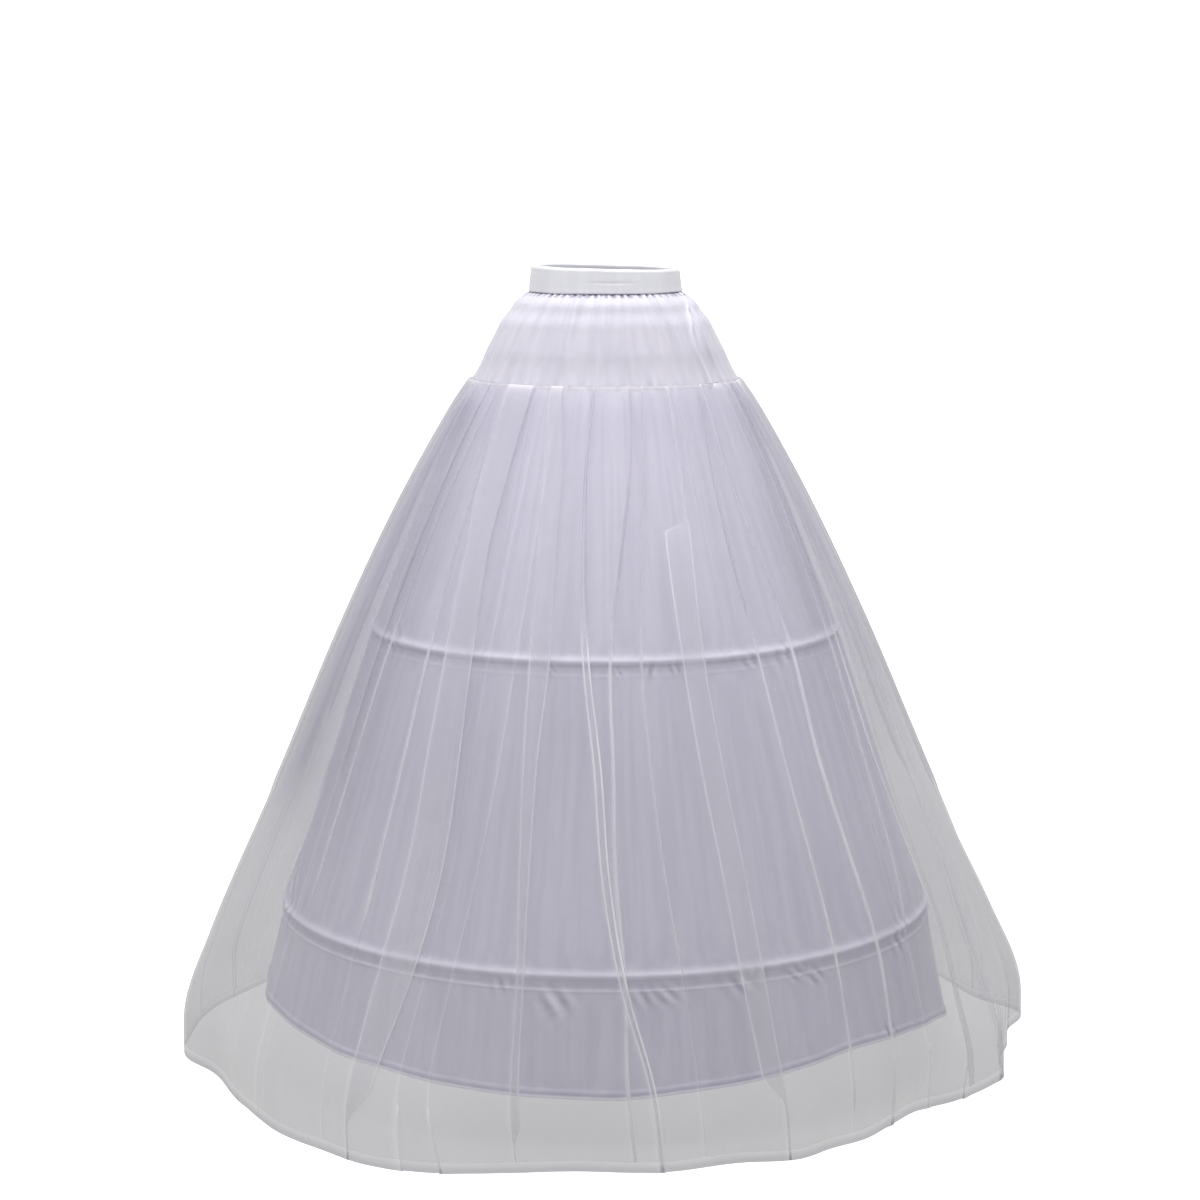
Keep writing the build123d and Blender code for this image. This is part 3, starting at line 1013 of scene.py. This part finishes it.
def yoke_out(angle, z):
    """How far the gathers of the yoke stand out."""
    fine, soft, notch, up, past = yoke_waves(angle, z)
    gaps = GAPS_IN * ease(-fine, 0.0, 0.4) * ease(up, 0.93, 1.0)
    puckered = PUCKERS_OUT * notch * np.exp(-up / 0.09)
    hanging = HANG_OUT * bell(past, 1.6) - HOLLOW_IN * bell(past - 4.5, 3)
    gathered = fine * ease(up, 0.30, 0.95) + soft * ease(up, 0.0, 0.3) * (1 - 0.5 * up)
    return GATHERS_OUT * gathered + puckered + hanging - gaps


def yoke_painted_light(angle, z):
    """Painted light on the yoke: painted highlights on the gathers' crests and on the fold that hangs over,
    and painted shade in dashes under the band, in the notches, in the gathers' hollows and beside the hung
    fold.
    """
    fine, soft, notch, up, past = yoke_waves(angle, z)
    dashes = ease(ripple(angle, z * 0, (58, 73), 34), -0.05, 0.25) * ease(up, 0.945, 0.960)
    notches = ease(-notch, 0.4, 0.75) * bell(up, 0.06)
    wedge = bell(past - 10, 2.4) * bell(up - 0.33, 0.16)
    gathers = 0.20 * fine * ease(up, 0.25, 0.95) + 0.09 * soft
    hanging = 0.6 * bell(past, 0.9) - 0.5 * bell(past - 2.5, 1.2)
    return gathers + hanging - 1.6 * dashes - 0.9 * notches - 0.8 * wedge


def gathered_yoke(name, middle):
    """Half of the yoke."""

    def spot(column, row):
        angle = middle + 180 * (column / YOKE_COLUMNS - 0.5)
        return angle, seam_z + (band_z[0] + YOKE_TUCK - seam_z) * row / YOKE_ROWS

    def place(column, row):
        angle, z = spot(column, row)
        half_x, half_y = ring_at(z, yoke_outline)
        out = yoke_out(angle, z) - YOKE_TUCK_IN * ease(z - band_z[0], -0.004, 0.001)
        return on_ring(angle, half_x + out, half_y + out, z)

    piece, column, row = laid_cloth(f"gathered_yoke_{name}", YOKE_COLUMNS, YOKE_ROWS, place)
    # painted highlights and painted shade on the gathers, the hung fold and under the band
    mark(piece, "painted_light", yoke_painted_light(*spot(column, row)))
    piece.data.materials.append(yoke_cloth)
    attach(piece, "root")
    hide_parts(f"yoke_{name}")
    print(f"{piece.name}: {len(piece.data.polygons)} faces, {surface_of(piece):.4f} square metres")


gathered_yoke("front", 0)
gathered_yoke("back", 180)

# %% [markdown]
# ## The waistband
#
# One plain strip folded over the elastic. Its profile is a narrow upside-down U, and the strip goes all
# the way round to a join at the back, where its ends are merged. Worn on a body it tilts a little to one
# side, and it has one short crease at the front.

# %% Fold the waistband
BAND_COLUMNS, BAND_ROWS = 260, 60
# the profile from the inside, over the top and down the outside: how far out, and how far up
BAND_PROFILE = (
    (-0.0045, 0.0), (-0.0052, 0.004), (-0.0051, 0.012), (-0.0050, 0.021), (-0.0050, 0.0285),
    (-0.0042, 0.0308), (-0.0027, 0.0318), (-0.0012, 0.0309), (-0.0001, 0.0286), (0.0, 0.025),
    (0.0001, 0.020), (0.0001, 0.0145), (0.0001, 0.0118), (0.0001, 0.0095), (0.0001, 0.006),
    (0.0002, 0.0025), (0.0001, 0.0006), (-0.0005, -0.0006), (-0.0014, -0.0002),
)
# the short crease: its angle, half length in degrees, height, half height and depth
CREASE_ANGLE, CREASE_HALF, CREASE_UP, CREASE_HALF_UP, CREASE_IN = 4, 15, 0.0135, 0.0014, 0.0005
# only the outside of the band, further out than this, is creased
OUTSIDE_FROM = -0.002
BAND_WAVE_OUT, BAND_WAVE_UP, BAND_TILT = 0.0004, 0.0006, 0.0025
BAND_JOIN = 0.00002


def folded_band():
    """The whole waistband."""
    steps = np.linspace(0, len(BAND_PROFILE) - 1, BAND_ROWS + 1)
    outs, ups = (smooth_through(steps, range(len(BAND_PROFILE)), side) for side in zip(*BAND_PROFILE))

    def place(column, row):
        row = BAND_ROWS - row
        angle = 360 * column / BAND_COLUMNS - 180
        z = band_z[0] + ups[row]
        half_x, half_y = ring_at(np.clip(z, *band_z), band_rings, smooth=False)
        creased = bell(angle - CREASE_ANGLE, CREASE_HALF) * bell(ups[row] - CREASE_UP, CREASE_HALF_UP)
        out = outs[row] + BAND_WAVE_OUT * ripple(angle, z, (5, 11, 17, 29), 51)
        out = out - CREASE_IN * creased * (outs[row] > OUTSIDE_FROM)
        tilt = BAND_TILT * np.sin(np.radians(angle)) * ups[row] / 0.032
        lift = BAND_WAVE_UP * ripple(angle, z * 0, (2, 5, 9), 52) - tilt
        return on_ring(angle, half_x + out, half_y + out, z + lift)

    piece, column, row = laid_cloth("folded_waistband", BAND_COLUMNS, BAND_ROWS, place)
    bpy.ops.object.mode_set(mode="EDIT")
    bpy.ops.mesh.select_all(action="SELECT")
    bpy.ops.mesh.remove_doubles(threshold=BAND_JOIN)
    bpy.ops.object.mode_set(mode="OBJECT")
    piece.data.materials.append(band_cloth)
    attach(piece, "root")
    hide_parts("waistband")
    print(f"{piece.name}: {len(piece.data.polygons)} faces, {surface_of(piece):.4f} square metres")


folded_band()

# %% [markdown]
# ## Hoops, sleeves, tape and elastic
#
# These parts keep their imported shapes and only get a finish. The hoops are bare spring steel wire,
# their ends meet in a white plastic sleeve, and the channels are a plain woven tape.

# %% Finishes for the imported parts


def object_place(tree):
    """Where a point is on the piece, in metres."""
    return add(tree, "ShaderNodeTexCoord").outputs["Object"]


def plain_finish(name, dark, light, roughness, size, streak=1.0, metallic=0.0):
    """A finish with a fine, uneven tone. A larger streak stretches the tone along one side."""
    material, tree, shader = new_material(name)
    shade = use(tree, tone, object_place(tree), Size=size, Streak=streak)
    tree.links.new(tinted(tree, stepped(tree, shade, 0.3, 0.7), dark, light), shader.inputs["Base Color"])
    rough = stepped(tree, shade, 0.3, 0.7, roughness + 0.06, roughness - 0.06)
    tree.links.new(rough, shader.inputs["Roughness"])
    adjust(shader, Metallic=metallic)
    bumped(tree, shader, shade, 0.0001, 0.2)
    return material


FINISHES = {
    "hoop": plain_finish("spring steel wire", (0.62, 0.63, 0.65), (0.78, 0.79, 0.81),
                         roughness=0.32, size=0.004, streak=5.0, metallic=1.0),
    "joiner": plain_finish("white plastic sleeve", (0.84, 0.84, 0.84), (0.90, 0.90, 0.90),
                           roughness=0.42, size=0.02),
    "casing": plain_finish("woven channel tape", (0.72, 0.71, 0.78), (0.80, 0.79, 0.85),
                           roughness=0.75, size=0.0012),
    "elastic": plain_finish("ribbed elastic", (0.76, 0.76, 0.78), (0.86, 0.86, 0.88),
                            roughness=0.7, size=0.0015, streak=3.0),
}
for name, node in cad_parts.items():
    # "hoop" comes last, because the joiners' and casings' names also hold it
    finish = next((FINISHES[kind] for kind in ("joiner", "casing", "elastic", "hoop") if kind in name), None)
    if finish:
        node.data.materials.clear()
        node.data.materials.append(finish)
        print(f"{name}: {finish.name}")
